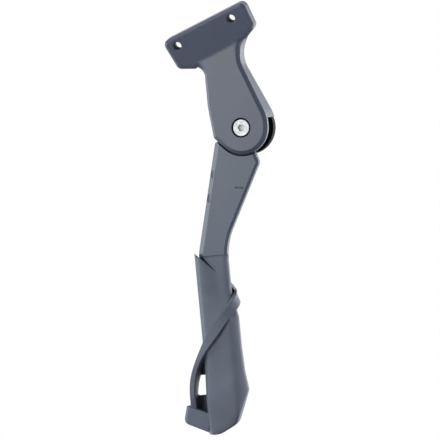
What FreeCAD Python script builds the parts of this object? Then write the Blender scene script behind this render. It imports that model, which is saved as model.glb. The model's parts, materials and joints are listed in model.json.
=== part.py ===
import FreeCAD, Part
import math
import os
from FreeCAD import Placement, Rotation, Vector

# Bicycle kickstand that is bolted to a frame tab with two screws and folds about one pivot.
# Row frame: origin midway between the two holes on the mating face of the plate,
# X along the row of holes, Y into the bicycle frame, Z up in the plane of the plate.
# Leg frame: origin on the pivot axis midway between the cheeks, x right and y up as seen
# from the outer side with the leg hanging down, z outwards along the pivot axis.
# Foot frame: origin at the bend of the leg, x across the stem, y up along it, z outwards.

# Mounting plate
hole_spacing = 40.0
hole_diameter = 5.3
hole_chamfer = 0.4
plate_thickness = 10.0
plate_left = 28.0
plate_right = 32.2
plate_rise = 6.5
plate_left_fall = 13.6
plate_right_fall = 11.8
plate_side_taper = 1.1
plate_corner_radius = 4.0
plate_bevel = 1.5

# Neck between the plate and the pivot
pivot_side = 5.5
pivot_drop = 66.6
pivot_stand_off = 11.55
splay_angle = 13.0
lean_angle = 28.5
neck_root_left = 17.0
neck_root_right = 22.5
neck_root_drop = 17.0
neck_root_slant = 1.4
neck_overlap = 6.0
neck_left_fillet = 7.5
neck_right_fillet = 20.0
neck_waist_drop = 24.0
neck_bevel = 2.2
flank_angle = 29.5
flank_swell = 1.0
neck_left_width = 23.4
neck_left_height = 12.0
neck_left_blend = 70.0
neck_left_angle = 98.0
neck_shelf_angle = -8.0

# Knuckle: cheek of the bracket in front, cheek plate behind, and the slot for the hub between them
knuckle_radius = 17.2
front_cheek = 4.75
rear_cheek = 5.5
rear_cheek_play = 0.1
slot_width = 10.5
slot_clearance = 0.6
chin_angle = 233.0
chin_length = 10.2
chin_corner_radius = 3.0

# Fold of the leg: polar angles of the tongue when the leg hangs down, and its travel
tongue_start_angle = -150.0
tongue_end_angle = -61.5
fold_angle = 86.0
stop_clearance_angle = 1.0

# Pivot set
bolt_diameter = 6.0
bolt_hole_clearance = 0.2
bolt_head_diameter = 10.5
bolt_head_height = 3.2
bolt_socket_width = 4.0
bolt_socket_depth = 2.0
counterbore_diameter = 12.6
counterbore_depth = 3.4
nut_width = 10.0
nut_height = 3.2
nut_pocket_clearance = 0.1
nut_pocket_depth = 3.4
bolt_end_gap = 0.1
bush_diameter = 9.0
bush_play = 0.05
washer_thickness = 0.5
washer_diameter = 20.0
washer_play = 0.05

# Hub and detent
hub_radius = 14.5
detent_angle = 112.0
detent_bore_end = 28.0
plunger_diameter = 6.0
plunger_play = 0.1
plunger_length = 6.8
plunger_nose = 1.6
plunger_gap = 0.25
notch_depth = 1.5
notch_clearance = 0.3
spring_wire = 0.8
spring_diameter = 4.8
spring_turns = 3
spring_steps = 8
spring_end_gap = 0.1

# Leg blade
leg_thickness = 14.0
leg_left_bevel = 4.0
leg_right_bevel = 1.4
leg_wall = 5.0
leg_rear_inset = 3.0
leg_relief = 1.1
leg_left_reach = 22.0
leg_shoulder_reach = 24.5
shoulder_radius = 2.0
tongue_overlap = 2.0
bend_side = 15.6
bend_drop = 82.0
bend_angle = 8.1
bend_left_radius = 30.0
bend_right_radius = 45.0
bar_left = 11.5
bar_right = 8.2
bar_taper_height = 5.9
scallop_radius = 5.0
scallop_depth = 0.9
scallop_drop = 30.6
scallop_pitch = 15.6
scallop_count = 2
steep_share = 0.6
mark_length = 5.4
mark_width = 0.9
mark_depth = 0.4
mark_drop = 38.8
mark_right = 2.4

# Stem of the leg inside the foot
mouth_slope = 46.0
mouth_tilt = 14.0
mouth_left_rise = 0.4
mouth_gap = 0.1
seam_drop = 1.3
wing_gap = 0.4
wing_groove_width = 1.5
wing_groove_depth = 5.5
wing_groove_right = 1.0
stem_left = 7.6
stem_right = 3.8
stem_thickness = 9.0
stem_length = 73.0
stem_corner_radius = 1.5
stem_play = 0.3
foot_travel = 40.0
groove_depth = 1.4
groove_clearance = 0.4

# Foot moulding: sizes of the body at the lip, the waist and the belly, and the corners of its sole
foot_top = 12.0
foot_lip_drop = 26.0
foot_lip_left = 13.9
foot_lip_right = 8.6
foot_lip_front = 8.8
foot_lip_flush = 6.2
foot_lip_bevel = 3.2
foot_waist_top = 42.0
foot_blend_steps = 2
foot_waist_drop = 62.0
foot_waist_left = 13.4
foot_waist_right = 12.0
foot_waist_depth = 10.4
foot_waist_bevel = 4.5
foot_belly_drop = 91.8
foot_belly_left = 14.0
foot_belly_right = 14.6
foot_belly_depth = 12.6
foot_belly_bevel = 6.5
foot_left_bevel = 4.0
foot_left_lean = 3.0
foot_left_wall = 5.0
foot_heel_drop = 110.6
foot_heel_right = 6.4
foot_heel_radius = 9.0
foot_sole_drop = 117.6
foot_sole_left = 8.0
foot_sole_radius = 14.0
foot_rear_share = 0.92
foot_rear_inset = 2.6
foot_draft = 6.0
foot_edge_radius = 1.6
foot_cavity_end = 76.0

# Ribbon that winds round the foot and becomes the loop
ribbon_width = 6.6
ribbon_thin = 2.4
ribbon_thick = 6.0
ribbon_stand_off = 2.8
ribbon_rise = 1.7
loop_width = 3.2
loop_depth = 12.0
loop_proud = 0.4
ribbon_start_drop = 21.5
ribbon_leave_drop = 60.5
loop_end_drop = 101.5
loop_reach = 24.2
loop_lean = 0.7
loop_bow = 2.3
loop_shoulder = 6.9
web_rear = 6.0
web_front = 2.0
window_top = 77.5
window_bottom = 90.5
window_radius = 2.0
window_width = 10.0
window_slant = 2.0
toe_reach = 30.8
toe_drop = 107.0
toe_corner_radius = 2.0
toe_step_reach = 27.8
toe_step_drop = 96.3
toe_inner_drop = 103.5
toe_half_depth = 9.0
toe_bevel = 2.0
toe_share = 0.2

# Clamp of the foot
clamp_drop = 26.0
clamp_side = 1.6
clamp_diameter = 5.0
clamp_hole_clearance = 0.1
clamp_head_diameter = 8.6
clamp_head_height = 2.6
clamp_socket_width = 3.0
clamp_socket_depth = 1.6
clamp_nut_width = 8.0
clamp_nut_height = 2.7
clamp_nut_play = 0.1
clamp_boss_diameter = 12.0
clamp_boss_height = 10.4

# Sizes that follow from the ones above
half_slot = slot_width / 2
front_face = half_slot + front_cheek
rear_face = -half_slot - rear_cheek
hub_half = half_slot - washer_thickness - washer_play
relief_radius = knuckle_radius + leg_relief
half_leg = leg_thickness / 2
half_stem = stem_thickness / 2
leave_side = ribbon_thick / 2 - foot_waist_left
bolt_hole_radius = bolt_diameter / 2 + bolt_hole_clearance
far = 4 * knuckle_radius


def polar(radius, angle):
    turn = math.radians(angle)
    return Vector(radius * math.cos(turn), radius * math.sin(turn), 0)


def rounded_wire(corners):
    """Closed wire through corners (x, y, radius); each corner is a tangent arc of its radius."""
    count = len(corners)
    spans = []
    for i, (x, y, radius) in enumerate(corners):
        here = Vector(x, y, 0)
        back = Vector(corners[i - 1][0], corners[i - 1][1], 0) - here
        ahead = Vector(corners[(i + 1) % count][0], corners[(i + 1) % count][1], 0) - here
        back.normalize()
        ahead.normalize()
        half = back.getAngle(ahead) / 2
        reach = radius / math.tan(half)
        middle = back + ahead
        if radius > 0:
            middle.normalize()
            middle = here + middle * (radius / math.sin(half) - radius)
        spans.append((here + back * reach, middle, here + ahead * reach, radius))
    edges = []
    for i, (start, middle, end, radius) in enumerate(spans):
        before = spans[i - 1][2]
        if before.distanceToPoint(start) > 1e-6:
            edges.append(Part.LineSegment(before, start).toShape())
        if radius > 0:
            edges.append(Part.Arc(start, middle, end).toShape())
    return Part.Wire(edges)


def prism(corners, low, high):
    face = Part.Face(rounded_wire(corners))
    face.translate(Vector(0, 0, low))
    return face.extrude(Vector(0, 0, high - low))


def cylinder(radius, low, high, centre=Vector(0, 0, 0)):
    return Part.makeCylinder(radius, high - low, Vector(centre.x, centre.y, low))


def hexagon(width, low, high):
    reach = width / math.sqrt(3)
    corners = [(*polar(reach, 60 * i)[:2], 0) for i in range(6)]
    return prism(corners, low, high)


def edges_at(shape, height):
    """Edges of the shape that lie in the plane z = height."""
    return [e for e in shape.Edges if abs(e.BoundBox.ZMin - height) < 1e-4 and abs(e.BoundBox.ZMax - height) < 1e-4]


def leg_to_row(shape):
    turn = Rotation(Vector(1, 0, 0), 90 - splay_angle) * Rotation(Vector(0, 0, 1), -lean_angle)
    return shape.transformed(Placement(Vector(-pivot_side, -pivot_stand_off, -pivot_drop), turn).toMatrix())


def plate_to_row(shape):
    return shape.transformed(Placement(Vector(0, 0, 0), Rotation(Vector(1, 0, 0), 90)).toMatrix())


def foot_to_leg(shape):
    return shape.transformed(foot_placement().toMatrix())


def foot_placement():
    return Placement(Vector(-bend_side, -bend_drop, 0), Rotation(Vector(0, 0, 1), bend_angle))


def foot_point(side, drop):
    """A place on the foot, across and down the stem, in the leg frame."""
    return foot_placement().multVec(Vector(side, -drop, 0))


def plate_point(x, y):
    """A place on the plate in the leg frame, laid flat into the plane of the leg."""
    lift = (pivot_drop + y) / math.cos(math.radians(splay_angle))
    return Rotation(Vector(0, 0, 1), lean_angle).multVec(Vector(x + pivot_side, lift, 0))


def crossing(a, a_way, b, b_way):
    """Point where two lines in the plane meet."""
    span = a_way.x * b_way.y - a_way.y * b_way.x
    step = ((b.x - a.x) * b_way.y - (b.y - a.y) * b_way.x) / span
    return a + a_way * step


def neck_outline():
    flank_foot = polar(knuckle_radius + flank_swell, flank_angle)
    flank_way = polar(1, flank_angle + 90)
    flank_low = crossing(flank_foot, flank_way, Vector(knuckle_radius, 0, 0), Vector(0, 1, 0))
    blend = knuckle_radius + flank_swell / (1 - math.cos(math.radians(flank_angle)))
    root_right = plate_point(neck_root_right, neck_root_slant - neck_root_drop)
    root_left = plate_point(-neck_root_left, -neck_root_slant - neck_root_drop)
    top_right = plate_point(neck_root_right, -neck_overlap)
    top_left = plate_point(-neck_root_left, -neck_overlap)
    flank_high = crossing(flank_foot, flank_way, plate_point(0, -neck_waist_drop), polar(1, lean_angle))
    chin = polar(knuckle_radius, chin_angle)
    chin_end = chin + polar(chin_length, chin_angle - 90)
    chin_low = crossing(chin, polar(1, chin_angle - 90), Vector(0, -knuckle_radius, 0), Vector(1, 0, 0))
    waist = Vector(-neck_left_width, neck_left_height, 0)
    left_high = crossing(waist, polar(1, neck_left_angle), root_left, polar(1, neck_shelf_angle))
    return [
        (knuckle_radius, -knuckle_radius, knuckle_radius),
        (flank_low.x, flank_low.y, blend),
        (flank_high.x, flank_high.y, neck_right_fillet),
        (root_right.x, root_right.y, 0),
        (top_right.x, top_right.y, 0),
        (top_left.x, top_left.y, 0),
        (root_left.x, root_left.y, 0),
        (left_high.x, left_high.y, neck_left_fillet),
        (waist.x, waist.y, neck_left_blend),
        (chin_end.x, chin_end.y, chin_corner_radius),
        (chin_low.x, chin_low.y, knuckle_radius),
    ]


def plate_body():
    outline = [
        (-plate_left, plate_rise, plate_corner_radius),
        (-plate_left + plate_side_taper, -plate_left_fall, plate_corner_radius),
        (-neck_root_left, -neck_root_slant - neck_root_drop, 0),
        (neck_root_right, neck_root_slant - neck_root_drop, 0),
        (plate_right - plate_side_taper, -plate_right_fall, plate_corner_radius),
        (plate_right, plate_rise, plate_corner_radius),
    ]
    body = prism(outline, 0, plate_thickness)
    body = body.makeChamfer(plate_bevel, edges_at(body, plate_thickness))
    return plate_to_row(body)


def slot():
    """Room for the hub, for the swing of the tongue and for the cheek plate behind them."""
    pocket = cylinder(hub_radius + slot_clearance, -half_slot, half_slot)
    seat = cylinder(knuckle_radius + rear_cheek_play, 2 * rear_face, -half_slot)
    first = tongue_start_angle - stop_clearance_angle
    last = tongue_end_angle + fold_angle + stop_clearance_angle
    steps = 4
    rim = [polar(far, first + (last - first) * i / steps) for i in range(steps + 1)]
    swing = prism([(0, 0, 0)] + [(p.x, p.y, 0) for p in rim], 2 * rear_face, half_slot)
    return pocket.fuse(swing).fuse(seat)


def behind():
    """Space behind the mating face, which no part of the bracket enters."""
    return Part.makeBox(2 * far, far, 6 * far, Vector(-far, 0, -3 * far))


def detent_turn():
    """Turns the X axis to the direction of the detent bore."""
    return Rotation(Vector(0, 0, 1), detent_angle)


def along_detent(radius, start, end):
    way = polar(1, detent_angle)
    return Part.makeCylinder(radius, end - start, way * start, way)


def mount_bracket():
    neck = prism(neck_outline(), rear_face, front_face)
    neck = neck.makeChamfer(neck_bevel, edges_at(neck, front_face))
    bores = cylinder(bolt_hole_radius, half_slot, front_face)
    bores = bores.fuse(cylinder(counterbore_diameter / 2, front_face - counterbore_depth, front_face))
    bores = bores.fuse(along_detent(plunger_diameter / 2 + plunger_play, hub_radius, detent_bore_end))
    neck = neck.cut(slot()).cut(bores)
    neck = leg_to_row(neck).cut(behind())
    body = plate_body().fuse(neck).removeSplitter()
    for side in (-1, 1):
        start = Vector(side * hole_spacing / 2, 0, 0)
        hole = Part.makeCylinder(hole_diameter / 2, plate_thickness, start, Vector(0, -1, 0))
        mouth = Part.makeCone(
            hole_diameter / 2, hole_diameter / 2 + hole_chamfer, hole_chamfer,
            start + Vector(0, hole_chamfer - plate_thickness, 0), Vector(0, -1, 0),
        )
        body = body.cut(hole).cut(mouth)
    return body


def rear_cheek_plate():
    plate = cylinder(knuckle_radius, rear_face, -half_slot)
    plate = plate.cut(cylinder(bolt_hole_radius, rear_face, -half_slot))
    plate = plate.cut(hexagon(nut_width + 2 * nut_pocket_clearance, rear_face, rear_face + nut_pocket_depth))
    return leg_to_row(plate).cut(behind())


def cap_head(diameter, height, socket_width, socket_depth):
    """Round head that stands on z = 0, with a hexagon socket from its top."""
    return cylinder(diameter / 2, 0, height).cut(hexagon(socket_width, height - socket_depth, height))


def pivot_bolt():
    seat = front_face - counterbore_depth
    head = cap_head(bolt_head_diameter, bolt_head_height, bolt_socket_width, bolt_socket_depth)
    head.translate(Vector(0, 0, seat))
    return leg_to_row(head.fuse(cylinder(bolt_diameter / 2, rear_face + bolt_end_gap, seat)).removeSplitter())


def pivot_bush():
    bush = cylinder(bush_diameter / 2, -half_slot, half_slot)
    return leg_to_row(bush.cut(cylinder(bolt_hole_radius, -half_slot, half_slot)))


def thrust_washer(side):
    low, high = sorted((side * half_slot, side * (half_slot - washer_thickness)))
    ring = cylinder(washer_diameter / 2, low, high)
    return leg_to_row(ring.cut(cylinder(bush_diameter / 2 + bush_play, low, high)))


def pivot_nut():
    seat = rear_face + nut_pocket_depth
    nut = hexagon(nut_width, seat - nut_height, seat)
    return leg_to_row(nut.cut(cylinder(bolt_diameter / 2, seat - nut_height, seat)))


def plunger_start():
    return hub_radius + plunger_gap


def detent_plunger():
    radius = plunger_diameter / 2
    start = plunger_start()
    shank = along_detent(radius, start + plunger_nose, start + plunger_length)
    way = polar(1, detent_angle)
    nose = Part.makeCone(radius - plunger_nose, radius, plunger_nose, way * start, way)
    return leg_to_row(shank.fuse(nose).removeSplitter())


def detent_spring():
    start = plunger_start() + plunger_length + spring_end_gap + spring_wire / 2
    length = detent_bore_end - spring_end_gap - spring_wire / 2 - start
    coil_radius = (spring_diameter - spring_wire) / 2
    half = spring_wire / 2
    steps = spring_steps * spring_turns
    sections = []
    for i in range(steps + 1):
        out = polar(1, 360 * i / spring_steps)
        centre = out * coil_radius + Vector(0, 0, length * i / steps)
        up = Vector(0, 0, 1)
        corners = [out + up, out - up, out * -1 - up, up - out]
        sections.append(Part.makePolygon([centre + c * half for c in corners] + [centre + corners[0] * half]))
    coil = Part.makeLoft(sections, True, True)
    lay = Placement(polar(start, detent_angle), detent_turn() * Rotation(Vector(0, 1, 0), 90))
    return leg_to_row(coil.transformed(lay.toMatrix()))


def below_mouth():
    """Everything under the mouth, which slants to the right and falls towards the rear, in the foot frame."""
    start = Vector(-bar_left, mouth_left_rise, foot_lip_front)
    way = polar(1, -mouth_slope)
    left = start - way * far
    right = start + way * 2 * far
    deep = -4 * far
    space = prism([(left.x, left.y, 0), (left.x, deep, 0), (right.x, deep, 0), (right.x, right.y, 0)], -far, far)
    space.rotate(start, way, -mouth_tilt)
    return space


def wing_groove():
    """Wedge cut beside the front edge of the mouth, which runs out towards the right."""
    way = polar(1, -mouth_slope)
    start = Vector(-bar_left, mouth_left_rise, 0)
    end = start + way * ((bar_left + wing_groove_right) / way.x)
    wide = start + polar(wing_groove_width, 90 - mouth_slope)
    return prism([(start.x, start.y, 0), (end.x, end.y, 0), (wide.x, wide.y, 0)], half_leg - wing_groove_depth, far)


def across_foot(start_drop, end_drop):
    """Slab across the stem between two drops, in the foot frame."""
    return Part.makeBox(4 * far, end_drop - start_drop, 2 * far, Vector(-2 * far, -end_drop, -far))


def blade_outline(right_inset):
    """Outline of the blade; the right edge lies an inset further left."""
    left_top = polar(leg_left_reach, tongue_start_angle)
    shoulder = polar(leg_shoulder_reach, tongue_end_angle)
    left_bend = foot_point(-bar_left, 0)
    right_bend = foot_point(bar_right - right_inset, -bar_taper_height)
    left_end = foot_point(-bar_left, foot_cavity_end)
    right_end = foot_point(bar_right - right_inset, foot_cavity_end)
    return [
        (0, 0, 0),
        (left_top.x, left_top.y, 0),
        (left_bend.x, left_bend.y, bend_left_radius),
        (left_end.x, left_end.y, 0),
        (right_end.x, right_end.y, 0),
        (right_bend.x, right_bend.y, bend_right_radius),
        (shoulder.x - right_inset, shoulder.y, shoulder_radius),
    ]


def blade():
    """Bar with a bevelled front, whose right wall leans inwards towards the rear."""
    turn = half_leg - leg_wall
    body = prism(blade_outline(0), turn, half_leg)
    for bevel, side in ((leg_left_bevel, -1), (leg_right_bevel, 1)):
        rim = [e for e in edges_at(body, half_leg) if side * (e.CenterOfMass.x + bend_side) > 0]
        body = body.makeChamfer(bevel, [e for e in rim if abs(e.tangentAt(e.FirstParameter).y) > steep_share])
    sections = []
    for height, inset in ((turn, 0), (-half_leg, leg_rear_inset)):
        wire = rounded_wire(blade_outline(inset))
        wire.translate(Vector(0, 0, height))
        sections.append(wire)
    return body.fuse(Part.makeLoft(sections, True, True)).removeSplitter()


def blade_marks():
    """Scallops in the left bevel and a dash near the right edge."""
    top = polar(leg_left_reach, tongue_start_angle)
    low = foot_point(-bar_left, 0)
    out = Vector(-1, 0, 1).normalize()
    half_bevel = leg_left_bevel / 2
    cuts = []
    for i in range(scallop_count):
        y = -scallop_drop - i * scallop_pitch
        edge = top + (low - top) * ((y - top.y) / (low.y - top.y))
        centre = edge + Vector(half_bevel, 0, half_leg - half_bevel) + out * (scallop_radius - scallop_depth)
        cuts.append(Part.makeSphere(scallop_radius, centre))
    dash = Part.makeBox(mark_length, mark_width, 2 * mark_depth)
    dash.translate(Vector(mark_right - mark_length, -mark_drop - mark_width / 2, half_leg - mark_depth))
    return cuts + [dash]


def stem():
    corners = [
        (-stem_left, 0, stem_corner_radius), (-stem_left, -stem_length, stem_corner_radius),
        (stem_right, -stem_length, stem_corner_radius), (stem_right, 0, stem_corner_radius),
    ]
    bar = prism(corners, -half_stem, half_stem)
    tip = clamp_diameter / 2
    top = -(clamp_drop - tip - groove_clearance)
    end = -(clamp_drop + foot_travel + tip + groove_clearance)
    half = tip + groove_clearance
    side = -clamp_side
    groove = prism(
        [(side - half, top, 0), (side - half, end, 0), (side + half, end, 0), (side + half, top, 0)],
        -half_stem, groove_depth - half_stem,
    )
    return bar.cut(groove)


def leg_arm():
    relief = cylinder(relief_radius, -half_leg, half_leg)
    chin = polar(relief_radius, chin_angle)
    chin_end = chin + polar(far, chin_angle - 90)
    inner = polar(far, chin_angle - 90)
    relief = relief.fuse(prism(
        [(0, 0, 0), (inner.x, inner.y, 0), (chin_end.x, chin_end.y, 0), (chin.x, chin.y, 0)], -half_leg, half_leg,
    ))
    bar = blade().cut(relief).cut(foot_to_leg(across_foot(seam_drop, 2 * stem_length)))
    for mark in blade_marks():
        bar = bar.cut(mark)
    middle = (tongue_start_angle + tongue_end_angle) / 2
    reach = relief_radius + tongue_overlap
    corners = [polar(reach, tongue_start_angle), polar(2 * reach, middle), polar(reach, tongue_end_angle)]
    tongue = prism([(0, 0, 0)] + [(p.x, p.y, 0) for p in corners], -hub_half, hub_half).common(blade())
    hub = cylinder(hub_radius, -hub_half, hub_half)
    arm = bar.fuse(tongue).fuse(hub).fuse(foot_to_leg(stem())).removeSplitter()
    arm = arm.cut(cylinder(bush_diameter / 2 + bush_play, -hub_half, hub_half))
    notch_radius = plunger_diameter / 2 + notch_clearance
    for angle in (detent_angle, detent_angle - fold_angle):
        place = polar(hub_radius - notch_depth - plunger_gap + notch_radius, angle)
        arm = arm.cut(cylinder(notch_radius, -hub_half, hub_half, place))
    return leg_to_row(arm)


def foot_section(drop, left, right, front, flush, lean, wall, bevel):
    """Eight-sided section of the foot with soft corners, laid across the stem at its drop."""
    soft = foot_edge_radius
    rear = foot_rear_share * front
    rear_right = right - foot_rear_inset
    wire = rounded_wire([
        (-left, front - wall, soft),
        (-left, foot_left_bevel - rear, soft),
        (foot_left_bevel - left, -rear, soft),
        (rear_right - bevel, -rear, soft),
        (rear_right, bevel - rear, soft),
        (right, flush - bevel, soft),
        (right - bevel, flush, soft),
        (lean - left, front, soft),
    ])
    return wire.transformed(Placement(Vector(0, -drop, 0), Rotation(Vector(1, 0, 0), 90)).toMatrix())


def between_sizes(first, last, share):
    return tuple(a + (b - a) * share for a, b in zip(first, last))


def foot_body():
    lip = (foot_lip_left, foot_lip_right, foot_lip_front, foot_lip_flush,
           foot_left_bevel, foot_left_bevel, foot_lip_bevel)
    waist = (foot_waist_left, foot_waist_right, foot_waist_depth, foot_waist_depth,
             foot_left_bevel, foot_left_bevel, foot_waist_bevel)
    belly = (foot_belly_left, foot_belly_right, foot_belly_depth, foot_belly_depth,
             foot_left_lean, foot_left_wall, foot_belly_bevel)
    stations = [(-foot_top, lip), (foot_lip_drop, lip)]
    for i in range(1, foot_blend_steps + 1):
        share = i / foot_blend_steps
        drop = foot_lip_drop + (foot_waist_top - foot_lip_drop) * share
        stations.append((drop, between_sizes(lip, waist, share * share * (3 - 2 * share))))
    stations.append((foot_waist_drop, waist))
    for i in range(1, foot_blend_steps + 1):
        share = i / foot_blend_steps
        drop = foot_waist_drop + (foot_belly_drop - foot_waist_drop) * share
        stations.append((drop, between_sizes(waist, belly, share * share)))
    stations.append((foot_sole_drop + foot_edge_radius, belly))
    hull = Part.makeLoft([foot_section(drop, *sizes) for drop, sizes in stations], True, True)
    sole_left = Vector(-foot_sole_left, -foot_sole_drop, 0)
    heel = Vector(foot_heel_right, -foot_heel_drop, 0)
    belly_corner = Vector(foot_belly_right, -foot_belly_drop, 0)
    left_low = Vector(-toe_reach, -toe_drop, 0)
    right_low = crossing(heel, belly_corner - heel, Vector(2 * foot_belly_right, 0, 0), Vector(0, 1, 0))
    profile = [
        (left_low.x, foot_top, 0),
        (left_low.x, left_low.y, 0),
        (sole_left.x, sole_left.y, foot_sole_radius),
        (heel.x, heel.y, foot_heel_radius),
        (right_low.x, right_low.y, 0),
        (right_low.x, foot_top, 0),
    ]
    reach = foot_belly_depth + foot_edge_radius
    ends = []
    for shift, out in ((0, reach), (-foot_draft, -reach)):
        wire = rounded_wire(profile)
        wire.translate(Vector(shift, 0, out))
        ends.append(wire)
    return hull.common(Part.makeLoft(ends, True, True))


def with_drops(sections, start, end):
    """Puts sections (share of the run, side, ...) at their drops, as (side, drop, ...)."""
    return [(side, start + (end - start) * share, *rest) for share, side, *rest in sections]


def wrap_stations():
    """Sections of the ribbon round the body: side, drop, out, facing angle, thickness and width."""
    outer = foot_lip_right + ribbon_stand_off - ribbon_thin / 2
    face = foot_waist_depth + ribbon_rise
    front = face - ribbon_thin / 2
    middle = (ribbon_thin + ribbon_thick) / 2
    wide = ribbon_width
    sections = [
        (0.0, foot_lip_right - 2 * ribbon_thin, ribbon_thin / 2 - foot_lip_flush, -40, ribbon_thin, wide),
        (0.19, outer, 0, 0, ribbon_thin, wide),
        (0.35, outer - ribbon_thin / 2, foot_lip_front - ribbon_thin / 2, 45, ribbon_thin, wide),
        (0.54, foot_lip_right / 3, front, 80, ribbon_thin, wide),
        (0.77, -foot_waist_left / 3, front, 95, middle, wide),
        (1.0, leave_side, face - ribbon_thick / 2, 115, ribbon_thick, (wide + loop_width) / 2),
    ]
    return with_drops(sections, ribbon_start_drop, ribbon_leave_drop)


def loop_stations():
    """Sections of the loop from the place where the ribbon leaves the body down to the toe."""
    out = toe_half_depth + loop_proud - loop_depth / 2
    middle = (ribbon_thick + loop_depth) / 2
    high = toe_half_depth + loop_proud - middle / 2
    sections = [
        (0.24, leave_side - loop_shoulder, high, 100, middle, loop_width),
        (0.49, loop_bow - loop_reach, out, 88, loop_depth, loop_width),
        (0.75, loop_lean - loop_reach, out, 83, loop_depth, loop_width),
        (1.0, -loop_reach, out, 83, loop_depth, loop_width),
    ]
    return with_drops(sections, ribbon_leave_drop, loop_end_drop)


def ribbon():
    stations = wrap_stations() + loop_stations()
    centres = [Vector(side, -drop, out) for side, drop, out, facing, thickness, width in stations]
    wires = []
    for i, (side, drop, out, facing, thickness, width) in enumerate(stations):
        way = centres[min(i + 1, len(centres) - 1)] - centres[max(i - 1, 0)]
        way.normalize()
        turn = math.radians(facing)
        across = Vector(math.cos(turn), 0, math.sin(turn)).cross(way)
        across.normalize()
        normal = way.cross(across) * (thickness / 2)
        across = across * (width / 2)
        corners = [across + normal, normal - across, across * -1 - normal, across - normal]
        wires.append(Part.makePolygon([centres[i] + c for c in corners] + [centres[i] + corners[0]]))
    return Part.makeLoft(wires, True, False)


def loop_web():
    """Thin wall behind the loop that ties it to the body, with the window through it."""
    edge = foot_left_bevel - foot_belly_left
    half = ribbon_width / 2
    points = [(leave_side, -ribbon_leave_drop)] + [(side, -drop) for side, drop, *rest in loop_stations()]
    wall = prism([(edge, half - ribbon_leave_drop, 0)] + [(x, y, 0) for x, y in points]
                 + [(edge, -loop_end_drop, 0)], -web_rear, -web_front)
    right = -foot_belly_left
    window = prism([
        (right, -window_top, window_radius), (right + window_slant - window_width, -window_top, window_radius),
        (right - window_width, -window_bottom, window_radius), (right, -window_bottom, window_radius),
    ], -far, far)
    return wall.cut(window)


def toe():
    edge = foot_left_bevel - foot_belly_left
    sole_left = Vector(-foot_sole_left, -foot_sole_drop, 0)
    sole_end = sole_left + (Vector(-toe_reach, -toe_drop, 0) - sole_left) * toe_share
    corners = [
        (-toe_step_reach, -toe_step_drop, 0),
        (-toe_reach, -toe_drop, toe_corner_radius + toe_bevel),
        (sole_end.x, sole_end.y, 0),
        (edge, -toe_inner_drop, 0),
    ]
    block = prism(corners, -toe_half_depth, toe_half_depth)
    rim = edges_at(block, toe_half_depth) + edges_at(block, -toe_half_depth)
    lower = [e for e in rim if e.CenterOfMass.x < -toe_step_reach or e.CenterOfMass.y < -toe_inner_drop]
    return block.makeChamfer(toe_bevel, lower)


def clamp_centre():
    return Vector(-clamp_side, -clamp_drop, 0)


def square(width, low, high):
    half = width / 2
    x, y = clamp_centre()[:2]
    return prism([(x - half, y - half, 0), (x + half, y - half, 0), (x + half, y + half, 0), (x - half, y + half, 0)],
                 low, high)


def foot_sleeve():
    body = foot_body()
    body = body.fuse(cylinder(clamp_boss_diameter / 2, -clamp_boss_height, -half_stem, clamp_centre()))
    start = seam_drop + mouth_gap
    beside_bar = across_foot(-far, start)
    beside_bar.translate(Vector(2 * far - bar_left - wing_gap, 0, 0))
    body = body.common(below_mouth()).cut(beside_bar)
    body = body.fuse(loop_web()).fuse(toe()).fuse(ribbon())
    left, right = -stem_left - stem_play, stem_right + stem_play
    soft = stem_corner_radius
    room = half_stem + stem_play
    cavity = prism([(left, foot_top, 0), (left, -foot_cavity_end, soft), (right, -foot_cavity_end, soft),
                    (right, foot_top, 0)], -room, room)
    pocket = square(clamp_nut_width + 2 * clamp_nut_play, -room - clamp_nut_height - clamp_nut_play, -room)
    bore = cylinder(clamp_diameter / 2 + clamp_hole_clearance, -clamp_boss_height, -room, clamp_centre())
    hollow = cavity.fuse(pocket).fuse(bore)
    throat = blade().common(foot_to_leg(across_foot(start, foot_waist_top))).cut(foot_to_leg(wing_groove()))
    shell = foot_to_leg(body).fuse(throat).cut(foot_to_leg(hollow))
    return leg_to_row(shell.removeSplitter())


def foot_clamp_screw():
    head = cap_head(clamp_head_diameter, clamp_head_height, clamp_socket_width, clamp_socket_depth)
    tip = half_stem - groove_depth + groove_clearance
    screw = head.fuse(cylinder(clamp_diameter / 2, tip - clamp_boss_height, 0)).removeSplitter()
    turn = Rotation(Vector(1, 0, 0), 180)
    lay = Placement(clamp_centre() - Vector(0, 0, clamp_boss_height), turn)
    return leg_to_row(foot_to_leg(screw.transformed(lay.toMatrix())))


def foot_clamp_nut():
    seat = -half_stem - stem_play - clamp_nut_height
    nut = square(clamp_nut_width, seat, seat + clamp_nut_height)
    nut = nut.cut(cylinder(clamp_diameter / 2, seat, seat + clamp_nut_height, clamp_centre()))
    return leg_to_row(foot_to_leg(nut))


PARTS = {
    "mount_bracket": mount_bracket,
    "rear_cheek_plate": rear_cheek_plate,
    "pivot_bolt": pivot_bolt,
    "pivot_bush": pivot_bush,
    "thrust_washer_front": lambda: thrust_washer(1),
    "thrust_washer_rear": lambda: thrust_washer(-1),
    "pivot_nut": pivot_nut,
    "detent_plunger": detent_plunger,
    "detent_spring": detent_spring,
    "leg_arm": leg_arm,
    "foot_sleeve": foot_sleeve,
    "foot_clamp_screw": foot_clamp_screw,
    "foot_clamp_nut": foot_clamp_nut,
}

os.makedirs("parts", exist_ok=True)
for name, make in PARTS.items():
    shape = make()
    print(name, shape.isValid(), len(shape.Solids), round(shape.Volume, 1))
    shape.exportStep("parts/" + name + ".step")
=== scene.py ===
import json
import math

import bpy
from mathutils import Matrix, Vector


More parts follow.
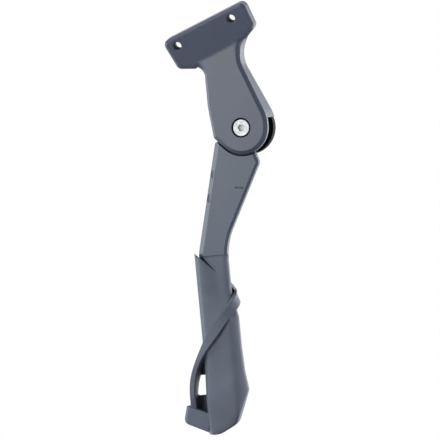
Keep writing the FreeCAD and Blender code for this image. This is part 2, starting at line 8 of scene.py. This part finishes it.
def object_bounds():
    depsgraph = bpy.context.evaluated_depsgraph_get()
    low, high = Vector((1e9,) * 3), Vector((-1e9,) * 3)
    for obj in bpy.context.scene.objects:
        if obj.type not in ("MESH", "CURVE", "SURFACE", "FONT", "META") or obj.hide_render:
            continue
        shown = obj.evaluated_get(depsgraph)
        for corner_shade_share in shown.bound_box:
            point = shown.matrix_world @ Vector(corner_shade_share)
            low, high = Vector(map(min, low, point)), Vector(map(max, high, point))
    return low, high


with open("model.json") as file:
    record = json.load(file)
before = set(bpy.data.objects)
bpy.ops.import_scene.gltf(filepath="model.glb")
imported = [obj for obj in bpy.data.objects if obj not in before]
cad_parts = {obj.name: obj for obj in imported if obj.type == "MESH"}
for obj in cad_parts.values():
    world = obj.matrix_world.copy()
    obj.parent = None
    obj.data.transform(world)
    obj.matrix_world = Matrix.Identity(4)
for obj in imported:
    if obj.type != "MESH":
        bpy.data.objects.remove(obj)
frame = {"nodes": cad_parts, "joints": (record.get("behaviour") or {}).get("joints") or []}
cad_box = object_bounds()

# Folding bicycle kickstand: matte blue-grey coat on bracket and leg, matte plastic foot, bright pivot bolt.
# Lengths are in metres.

scene = bpy.context.scene
nodes = frame["nodes"]
joints = {joint["name"]: joint for joint in frame["joints"]}

# Pivot of the leg, and the foot's directions down and across
PIVOT = Vector(joints["leg_fold"]["pos_m"])
PIVOT_AXIS = Vector(joints["leg_fold"]["axis"])
FOOT_DOWN = Vector(joints["foot_slide"]["axis"])
FOOT_ACROSS = PIVOT_AXIS.cross(FOOT_DOWN)

# Crease between plate and neck, line of the ribbon across the foot, and the loop's place beside it
CREASE_HEIGHT = -0.0155
RIBBON_START = PIVOT - 0.018 * FOOT_ACROSS + 0.1142 * FOOT_DOWN
RIBBON_NORMAL = 0.7946 * FOOT_ACROSS + 0.6081 * FOOT_DOWN
RIBBON_HALF_WIDTH = 0.0035
RIBBON_FADE_END = 0.0065
LOOP_OFFSET = 0.0235

# Radii of softened edges
CRISP_EDGE = 0.0006
CREASE_EDGE = 0.003
RIBBON_EDGE = 0.001
BODY_EDGE = 0.007
BLACK_EDGE = 0.0004
BRIGHT_EDGE = 0.0003

# Noise scales, marks, wear with a painted edge highlight, and painted shade in corners and on the pivot hub
CLOUD_SCALE = 45.0
SCUFF_SCALE = 260.0
BLEMISH_SCALE = 700.0
TURNING_PITCH = 0.00022
TURNING_SHARE = 0.3
# Edge lightening: partly wear, partly a painted highlight
EDGE_WEAR_AND_HIGHLIGHT = 0.35
# Corner darkening: painted shade in corners and narrow gaps, with raised roughness there
SHADE_REACH = 0.008
PAINTED_SHADE_SHARE = 0.85
CORNER_ROUGHNESS = 0.95
# Near-black colour on the hub inside the pivot slot: painted shade
HUB_SHADE = (0.008, 0.009, 0.011)
HUB_SHADE_RADIUS = 0.0171
HUB_SHADE_RIM = 0.0004
EDGE_SAMPLES = 8


def new_material(name):
    material = bpy.data.materials.new(name)
    material.use_nodes = True
    tree = material.node_tree
    tree.nodes.clear()
    output = tree.nodes.new("ShaderNodeOutputMaterial")
    shader = tree.nodes.new("ShaderNodeBsdfPrincipled")
    tree.links.new(shader.outputs["BSDF"], output.inputs["Surface"])
    return material, tree, shader


def scaled(colour, factor):
    return tuple(factor * c for c in colour)


def place(tree):
    """Place on the piece."""
    return tree.nodes.new("ShaderNodeTexCoord").outputs["Object"]


def noise(tree, vector, scale, detail, rough):
    node = tree.nodes.new("ShaderNodeTexNoise")
    node.inputs["Scale"].default_value = scale
    node.inputs["Detail"].default_value = detail
    node.inputs["Roughness"].default_value = rough
    tree.links.new(vector, node.inputs["Vector"])
    return node.outputs["Fac"]


def span(tree, value, low, high, to_low, to_high):
    """Maps a value from one range to another and clamps it."""
    node = tree.nodes.new("ShaderNodeMapRange")
    for name, number in (("From Min", low), ("From Max", high), ("To Min", to_low), ("To Max", to_high)):
        node.inputs[name].default_value = number
    tree.links.new(value, node.inputs["Value"])
    return node.outputs["Result"]


def math_node(tree, operation, a, b=0.0):
    node = tree.nodes.new("ShaderNodeMath")
    node.operation = operation
    for socket, value in zip(node.inputs, (a, b)):
        if isinstance(value, (int, float)):
            socket.default_value = value
        else:
            tree.links.new(value, socket)
    return node.outputs["Value"]


def vector_node(tree, operation, a, b=Vector()):
    node = tree.nodes.new("ShaderNodeVectorMath")
    node.operation = operation
    for socket, value in zip(node.inputs, (a, b)):
        if isinstance(value, Vector):
            socket.default_value = value
        else:
            tree.links.new(value, socket)
    return node.outputs["Value"] if operation in ("LENGTH", "DOT_PRODUCT") else node.outputs["Vector"]


def mix_colour(tree, factor, a, b):
    node = tree.nodes.new("ShaderNodeMix")
    node.data_type = "RGBA"
    tree.links.new(factor, node.inputs["Factor"])
    for socket, value in ((node.inputs[6], a), (node.inputs[7], b)):
        if isinstance(value, tuple):
            socket.default_value = (*value, 1.0)
        else:
            tree.links.new(value, socket)
    return node.outputs[2]


def soft_edges(tree, radius):
    node = tree.nodes.new("ShaderNodeBevel")
    node.samples = EDGE_SAMPLES
    if isinstance(radius, float):
        node.inputs["Radius"].default_value = radius
    else:
        tree.links.new(radius, node.inputs["Radius"])
    return node.outputs["Normal"]


def bracket_radius(tree, where):
    """Edge radius on the bracket: crisp, and soft at the crease between plate and neck."""
    split = tree.nodes.new("ShaderNodeSeparateXYZ")
    tree.links.new(where, split.inputs["Vector"])
    away = math_node(tree, "ABSOLUTE", math_node(tree, "SUBTRACT", split.outputs["Z"], CREASE_HEIGHT))
    return span(tree, away, 0.6 * CREASE_EDGE, 1.8 * CREASE_EDGE, CREASE_EDGE, CRISP_EDGE)


def foot_radius(tree, where):
    """Edge radius on the foot: crisp along the ribbon and the loop, soft on the moulded body."""
    arm = vector_node(tree, "SUBTRACT", where, RIBBON_START)
    off_ribbon = math_node(tree, "ABSOLUTE", vector_node(tree, "DOT_PRODUCT", arm, RIBBON_NORMAL))
    off_loop = math_node(tree, "ADD", vector_node(tree, "DOT_PRODUCT", arm, FOOT_ACROSS), LOOP_OFFSET)
    away = math_node(tree, "MINIMUM", off_ribbon, off_loop)
    return span(tree, away, RIBBON_HALF_WIDTH, RIBBON_FADE_END, RIBBON_EDGE, BODY_EDGE)


def bump(tree, height, strength, distance, normal):
    node = tree.nodes.new("ShaderNodeBump")
    node.inputs["Strength"].default_value = strength
    node.inputs["Distance"].default_value = distance
    tree.links.new(height, node.inputs["Height"])
    tree.links.new(normal, node.inputs["Normal"])
    return node.outputs["Normal"]


def edge_share(tree, normal):
    """0 on flat faces and rising towards the edges that are softened."""
    true_normal = tree.nodes.new("ShaderNodeNewGeometry").outputs["True Normal"]
    along = vector_node(tree, "DOT_PRODUCT", normal, true_normal)
    return span(tree, along, 1.0, 0.86, 0.0, 1.0)


def corner_shade(tree):
    """0 in the open and rising towards 1 in narrow corners, where shade falls; used to paint shade into the
    colour.
    """
    node = tree.nodes.new("ShaderNodeAmbientOcclusion")
    node.samples = EDGE_SAMPLES
    node.inputs["Distance"].default_value = SHADE_REACH
    return span(tree, node.outputs["AO"], 0.2, 0.75, 1.0, 0.0)


def axis_distance(tree, where):
    """Distance from the pivot axis."""
    arm = vector_node(tree, "SUBTRACT", where, PIVOT)
    return vector_node(tree, "LENGTH", vector_node(tree, "CROSS_PRODUCT", arm, PIVOT_AXIS))


def coat(name, colour, grain, depth, rough, edge_radius, gloss, hub_shaded=False):
    """Matte coat with a fine grain, cloudy tone, faint scuffs, rubbed edges that also carry a painted
    highlight, painted shade in its corners and, if asked, painted shade on the pivot hub.
    """
    material, tree, shader = new_material(name)
    shader.inputs["Specular IOR Level"].default_value = gloss
    where = place(tree)
    if callable(edge_radius):
        edge_radius = edge_radius(tree, where)
    normal = soft_edges(tree, edge_radius)
    cloud = noise(tree, where, CLOUD_SCALE, 4.0, 0.55)
    speck = noise(tree, where, grain, 2.0, 0.6)
    scuff = noise(tree, where, SCUFF_SCALE, 6.0, 0.7)
    tone = mix_colour(tree, span(tree, cloud, 0.3, 0.7, 0.0, 1.0), scaled(colour, 0.9), scaled(colour, 1.1))
    # Lighter colour for scuffs and rubbed edges; on the edges it is also a painted highlight
    rubbed_and_highlight = tuple(min(1.0, 1.3 * c + 0.015) for c in colour)
    tone = mix_colour(tree, math_node(tree, "MULTIPLY", edge_share(tree, normal), EDGE_WEAR_AND_HIGHLIGHT), tone, rubbed_and_highlight)
    tone = mix_colour(tree, span(tree, scuff, 0.62, 0.8, 0.0, 0.25), tone, rubbed_and_highlight)
    # Darker colour in corners and narrow gaps: painted shade; roughness also rises there
    corner_shade_share = corner_shade(tree)
    painted_shade = math_node(tree, "MULTIPLY", corner_shade_share, PAINTED_SHADE_SHARE)
    tone = mix_colour(tree, painted_shade, tone, scaled(colour, 0.2))
    finish = span(tree, speck, 0.25, 0.75, rough - 0.06, rough + 0.06)
    finish = math_node(tree, "MAXIMUM", finish, math_node(tree, "MULTIPLY", corner_shade_share, CORNER_ROUGHNESS))
    if hub_shaded:
        # Near-black colour on the hub round the pivot axis: painted shade inside the slot
        hub_shade = span(tree, axis_distance(tree, where), HUB_SHADE_RADIUS, HUB_SHADE_RADIUS + HUB_SHADE_RIM, 1.0, 0.0)
        tone = mix_colour(tree, hub_shade, tone, HUB_SHADE)
    tree.links.new(tone, shader.inputs["Base Color"])
    tree.links.new(finish, shader.inputs["Roughness"])
    tree.links.new(bump(tree, speck, 0.35, depth, normal), shader.inputs["Normal"])
    return material


def bright(name, colour, rough):
    """Bare metal with fine turning marks round the pivot axis and small blemishes."""
    material, tree, shader = new_material(name)
    shader.inputs["Metallic"].default_value = 1.0
    where = place(tree)
    turns = math_node(tree, "MULTIPLY", axis_distance(tree, where), 2 * math.pi / TURNING_PITCH)
    waves = math_node(tree, "MULTIPLY", math_node(tree, "SINE", turns), TURNING_SHARE)
    blemish = noise(tree, where, BLEMISH_SCALE, 4.0, 0.6)
    height = math_node(tree, "ADD", waves, blemish)
    tone = mix_colour(tree, span(tree, blemish, 0.35, 0.7, 0.0, 1.0), colour, scaled(colour, 0.72))
    finish = span(tree, blemish, 0.3, 0.7, rough - 0.08, rough + 0.1)
    tree.links.new(tone, shader.inputs["Base Color"])
    tree.links.new(finish, shader.inputs["Roughness"])
    tree.links.new(bump(tree, height, 0.25, 0.00003, soft_edges(tree, BRIGHT_EDGE)), shader.inputs["Normal"])
    return material


# Coats: name, colour, grain scale and depth, roughness, edge radius and gloss
bracket_coat = coat("bracket_coat", (0.042, 0.056, 0.092), 2600.0, 0.00012, 0.38, bracket_radius, 0.4)
# The leg's hub inside the pivot slot is painted dark as shade
leg_coat = coat("leg_coat", (0.047, 0.066, 0.104), 2600.0, 0.00012, 0.38, CRISP_EDGE, 0.4, hub_shaded=True)
foot_plastic = coat("foot_plastic", (0.126, 0.144, 0.19), 1900.0, 0.00015, 0.6, foot_radius, 0.22)
black_steel = coat("black_steel", (0.012, 0.013, 0.016), 2200.0, 0.0001, 0.6, BLACK_EDGE, 0.04)
bright_steel = bright("bright_steel", (0.56, 0.57, 0.59), 0.7)
bronze = bright("bronze", (0.5, 0.34, 0.16), 0.38)

FINISH = {
    "mount_bracket": (bracket_coat, "bracket_coat"),
    "rear_cheek_plate": (black_steel, "black_steel"),
    "pivot_bolt": (bright_steel, "bright_steel"),
    "pivot_bush": (bronze, "bronze"),
    "thrust_washer_front": (bright_steel, "bright_steel"),
    "thrust_washer_rear": (bright_steel, "bright_steel"),
    "pivot_nut": (bright_steel, "bright_steel"),
    "detent_plunger": (bright_steel, "bright_steel"),
    "detent_spring": (bright_steel, "bright_steel"),
    "leg_arm": (leg_coat, "leg_coat"),
    "foot_sleeve": (foot_plastic, "foot_plastic"),
    "foot_clamp_screw": (black_steel, "black_steel"),
    "foot_clamp_nut": (bright_steel, "bright_steel"),
}
for name, (material, slot) in FINISH.items():
    piece = nodes[name]
    piece.data.materials.clear()
    piece.data.materials.append(material)

# Camera: seen from the outer side, a little from the right and above, and turned about its own axis
AZIMUTH = math.radians(16.0)
ELEVATION = math.radians(7.0)
ROLL = math.radians(28.566)
IMAGE_WIDTH = 440
PIXEL = 0.000642
FRAME_WIDTH = IMAGE_WIDTH * PIXEL
SENSOR = 0.036
LENS = 0.4
PLATE_FRONT = Vector((0.0, -0.01, 0.0))
AIM_RIGHT = 0.01027
AIM_DOWN = 0.1203
level_right = Vector((math.cos(AZIMUTH), math.sin(AZIMUTH), 0.0))
back = Vector((
    math.sin(AZIMUTH) * math.cos(ELEVATION), -math.cos(AZIMUTH) * math.cos(ELEVATION), math.sin(ELEVATION),
))
level_up = back.cross(level_right)
right = math.cos(ROLL) * level_right - math.sin(ROLL) * level_up
up = math.sin(ROLL) * level_right + math.cos(ROLL) * level_up
target = PLATE_FRONT + AIM_RIGHT * right - AIM_DOWN * up
distance = FRAME_WIDTH * LENS / SENSOR
camera_data = bpy.data.cameras.new("camera")
camera_data.sensor_width = SENSOR * 1000
camera_data.lens = LENS * 1000
camera_data.clip_start = 0.1
camera_data.clip_end = 100.0
camera = bpy.data.objects.new("camera", camera_data)
scene.collection.objects.link(camera)
turn = Matrix((right, up, back)).transposed().to_4x4()
camera.matrix_world = Matrix.Translation(target + distance * back) @ turn
scene.camera = camera


def soft_lamp(name, across, rise, towards, width, power):
    """Square soft box that faces the object, placed in the camera's axes."""
    data = bpy.data.lights.new(name, "AREA")
    data.size = width
    data.energy = power
    lamp = bpy.data.objects.new(name, data)
    scene.collection.objects.link(lamp)
    lamp.location = target + across * right + rise * up + towards * back
    lamp.rotation_mode = "QUATERNION"
    lamp.rotation_quaternion = (target - lamp.location).to_track_quat("-Z", "Y")


# Lamps: place across, up and towards the camera, width and watts
soft_lamp("left_box", -1.0, 0.0, -0.4, 1.0, 7.0)
soft_lamp("right_box", 1.0, 0.0, -0.4, 1.0, 23.0)
soft_lamp("key_box", -0.77, 0.12, 0.9, 0.5, 8.2)
soft_lamp("top_box", -0.5, 0.95, 0.25, 0.5, 3.0)

# World: white where it is seen or mirrored, a low even fill elsewhere
FILL = 0.16
WHITE = 1.0
world = bpy.data.worlds.new("studio")
world.use_nodes = True
scene.world = world
tree = world.node_tree
tree.nodes.clear()
rays = tree.nodes.new("ShaderNodeLightPath")
mirrored = math_node(tree, "MAXIMUM", rays.outputs["Is Glossy Ray"], rays.outputs["Is Transmission Ray"])
seen = math_node(tree, "MAXIMUM", rays.outputs["Is Camera Ray"], mirrored)
sky = tree.nodes.new("ShaderNodeBackground")
sky.inputs["Color"].default_value = (1.0, 1.0, 1.0, 1.0)
tree.links.new(span(tree, seen, 0.0, 1.0, FILL, WHITE), sky.inputs["Strength"])
tree.links.new(sky.outputs["Background"], tree.nodes.new("ShaderNodeOutputWorld").inputs["Surface"])

# Floor: a plain pale board some way below the hanging stand
FLOOR_SIZE = 0.8
FLOOR_DROP = 0.35
floor_place = (target.x, target.y, cad_box[0].z - FLOOR_DROP)
bpy.ops.mesh.primitive_plane_add(size=FLOOR_SIZE, location=floor_place)
floor = bpy.context.object
floor.name = "floor"
material, tree, shader = new_material("floor_paint")
cloud = noise(tree, place(tree), 12.0, 3.0, 0.5)
tone = mix_colour(tree, cloud, (0.84, 0.84, 0.85), (0.88, 0.88, 0.88))
tree.links.new(tone, shader.inputs["Base Color"])
shader.inputs["Roughness"].default_value = 0.8
floor.data.materials.append(material)

scene.view_settings.view_transform = "Standard"
